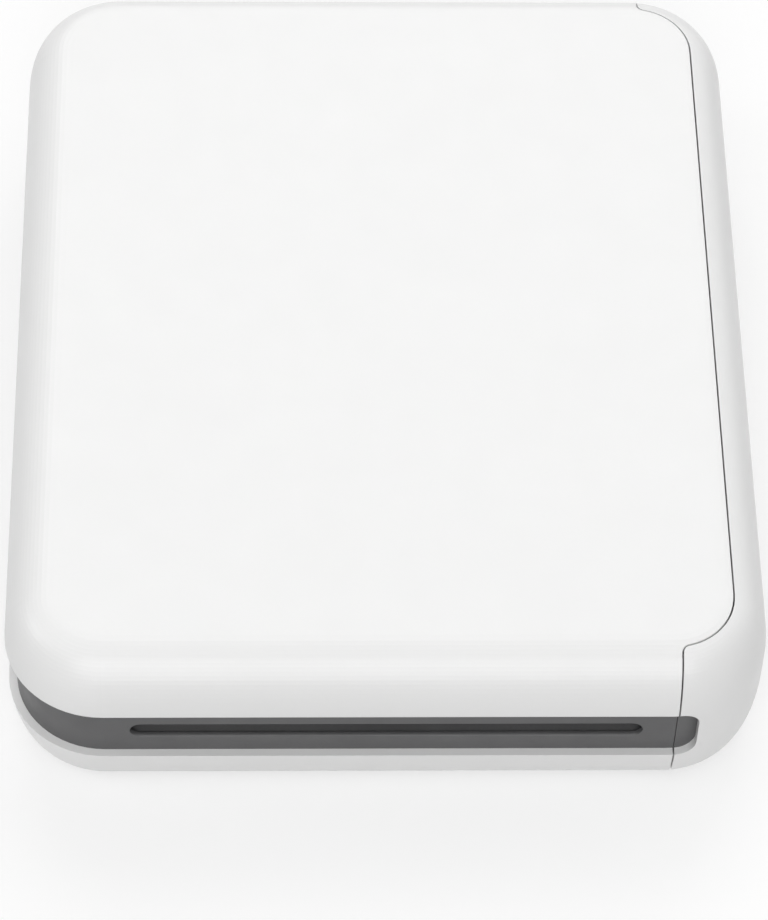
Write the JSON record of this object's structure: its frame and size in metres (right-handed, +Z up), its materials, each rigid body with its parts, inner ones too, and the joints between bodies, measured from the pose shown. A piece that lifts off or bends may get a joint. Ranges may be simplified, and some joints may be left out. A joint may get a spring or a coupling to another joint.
{
  "type": "compact photo printer",
  "caption": "Pocket photo printer lying flat, with soft-edged white case, dark band with paper slot and a side door over its ribbon and paper cartridge.",
  "frame": {"origin": "on the table, below the middle of the case", "axes": "+X to the right towards the cartridge door, +Y from the paper slot to the back, +Z up"},
  "size_m": [0.1149, 0.138, 0.0302],
  "materials": {
    "case_white": "satin white ABS",
    "band_grey": "fine matt dark grey ABS",
    "button_grey": "satin light grey",
    "light_lens": "clear milky acrylic",
    "foot_rubber": "matt black rubber",
    "bright_steel": "ground steel",
    "frame_steel": "zinc plated sheet steel",
    "sink_aluminium": "extruded aluminium",
    "head_ceramic": "glazed ceramic",
    "flat_cable": "polyimide film",
    "roller_rubber": "ground black rubber",
    "gear_plastic": "natural acetal",
    "circuit_board": "green solder mask",
    "guide_black": "matt black",
    "battery_wrap": "grey laminate pouch",
    "lead_wire": "PVC insulation, red and black",
    "cartridge_grey": "moulded grey-blue polystyrene",
    "spool_plastic": "moulded natural plastic",
    "ribbon": "thin dye film",
    "photo_paper": "glossy photo paper"
  },
  "bodies": {
    "printer": {"top_cover": "case_white", "bottom_case": "case_white", "trim_band": "band_grey", "rubber_feet": "foot_rubber", "case_screws": "bright_steel", "port_board": "circuit_board", "usb_port": "bright_steel", "status_lens": "light_lens", "left_frame": "frame_steel", "right_frame": "frame_steel", "cartridge_deck": "frame_steel", "battery_deck": "frame_steel", "front_stay": "frame_steel", "head_bridge": "frame_steel", "exit_guide": "guide_black", "head_heatsink": "sink_aluminium", "thermal_head": "head_ceramic", "head_cable": "flat_cable", "idler_studs": "bright_steel", "drive_motor": "bright_steel", "main_board": "circuit_board", "battery_pack": "battery_wrap", "battery_lead": "lead_wire", "cartridge_shell": "cartridge_grey", "ribbon_film": "ribbon", "paper_stack": "photo_paper"},
    "door": {"cartridge_door": "case_white", "door_trim": "band_grey", "door_hinge_pins": "bright_steel"},
    "button": {"power_button": "button_grey"},
    "platen_arms": {"platen_arms": "bright_steel"},
    "platen_roller": {"platen_roller": "roller_rubber"},
    "capstan": {"capstan_roller": "bright_steel", "capstan_gear": "gear_plastic"},
    "pinch_roller": {"pinch_roller": "roller_rubber"},
    "pickup": {"pickup_roller": "roller_rubber", "pickup_gear": "gear_plastic"},
    "front_idler": {"front_idler": "gear_plastic"},
    "middle_idler": {"middle_idler": "gear_plastic"},
    "rear_idler": {"rear_idler": "gear_plastic"},
    "motor_idler": {"motor_idler": "gear_plastic"},
    "motor_shaft": {"motor_pinion": "gear_plastic"},
    "takeup": {"takeup_spool": "spool_plastic", "takeup_gear": "gear_plastic"},
    "supply": {"supply_spool": "spool_plastic"},
    "cartridge_latch": {"cartridge_latch": "button_grey"}
  },
  "joints": [
    {"name": "door_hinge", "type": "hinge", "parent": "printer", "child": "door", "pos_m": [0.0546, 0, 0.0032], "axis": [0, 1, 0], "range_deg": [0, 90]},
    {"name": "power_press", "type": "slide", "parent": "printer", "child": "button", "axis": [0, -1, 0], "range_m": [0, 0.0005], "stiffness_N_per_m": 500, "springref_m": -0.0006},
    {"name": "platen_lift", "type": "hinge", "parent": "printer", "child": "platen_arms", "pos_m": [0, -0.0275, 0.0064], "axis": [-1, 0, 0], "range_deg": [0, 13], "stiffness_Nm_per_rad": 0.01, "springref_deg": -17.19},
    {"name": "platen_spin", "type": "hinge", "parent": "platen_arms", "child": "platen_roller", "pos_m": [0, -0.0375, 0.0082], "axis": [1, 0, 0], "continuous": true},
    {"name": "capstan_spin", "type": "hinge", "parent": "printer", "child": "capstan", "pos_m": [0, -0.0575, 0.01645], "axis": [1, 0, 0], "continuous": true},
    {"name": "pinch_spin", "type": "hinge", "parent": "printer", "child": "pinch_roller", "pos_m": [0, -0.0575, 0.01135], "axis": [1, 0, 0], "continuous": true},
    {"name": "pickup_spin", "type": "hinge", "parent": "printer", "child": "pickup", "pos_m": [0, -0.0125, 0.01885], "axis": [1, 0, 0], "continuous": true},
    {"name": "front_idler_spin", "type": "hinge", "parent": "printer", "child": "front_idler", "pos_m": [0, -0.0491, 0.01015], "axis": [1, 0, 0], "continuous": true},
    {"name": "middle_idler_spin", "type": "hinge", "parent": "printer", "child": "middle_idler", "pos_m": [0, -0.03541, 0.01306], "axis": [1, 0, 0], "continuous": true},
    {"name": "rear_idler_spin", "type": "hinge", "parent": "printer", "child": "rear_idler", "pos_m": [0, -0.02103, 0.01114], "axis": [1, 0, 0], "continuous": true},
    {"name": "motor_idler_spin", "type": "hinge", "parent": "printer", "child": "motor_idler", "pos_m": [0, -0.0054, 0.01111], "axis": [1, 0, 0], "continuous": true},
    {"name": "motor_spin", "type": "hinge", "parent": "printer", "child": "motor_shaft", "pos_m": [0, -0.0025, 0.0191], "axis": [1, 0, 0], "continuous": true},
    {"name": "takeup_spin", "type": "hinge", "parent": "printer", "child": "takeup", "pos_m": [0, -0.049, 0.0194], "axis": [1, 0, 0], "continuous": true},
    {"name": "supply_spin", "type": "hinge", "parent": "printer", "child": "supply", "pos_m": [0, -0.026, 0.0194], "axis": [1, 0, 0], "continuous": true},
    {"name": "latch_lever", "type": "hinge", "parent": "printer", "child": "cartridge_latch", "pos_m": [0.044, 0.044, 0.0163], "axis": [1, 0, 0], "range_deg": [0, 45], "stiffness_Nm_per_rad": 0.002, "springref_deg": -17.19}
  ],
  "couplings": [
    {"joint": "pinch_spin", "follows": "capstan_spin", "ratio": -1},
    {"joint": "pickup_spin", "follows": "capstan_spin", "ratio": 0.9},
    {"joint": "front_idler_spin", "follows": "capstan_spin", "ratio": -0.75},
    {"joint": "middle_idler_spin", "follows": "capstan_spin", "ratio": 0.5625},
    {"joint": "rear_idler_spin", "follows": "capstan_spin", "ratio": -0.69231},
    {"joint": "motor_idler_spin", "follows": "capstan_spin", "ratio": -0.81818},
    {"joint": "motor_spin", "follows": "capstan_spin", "ratio": 1.5},
    {"joint": "takeup_spin", "follows": "capstan_spin", "ratio": 1.3846},
    {"joint": "supply_spin", "follows": "capstan_spin", "ratio": 1.0385}
  ]
}
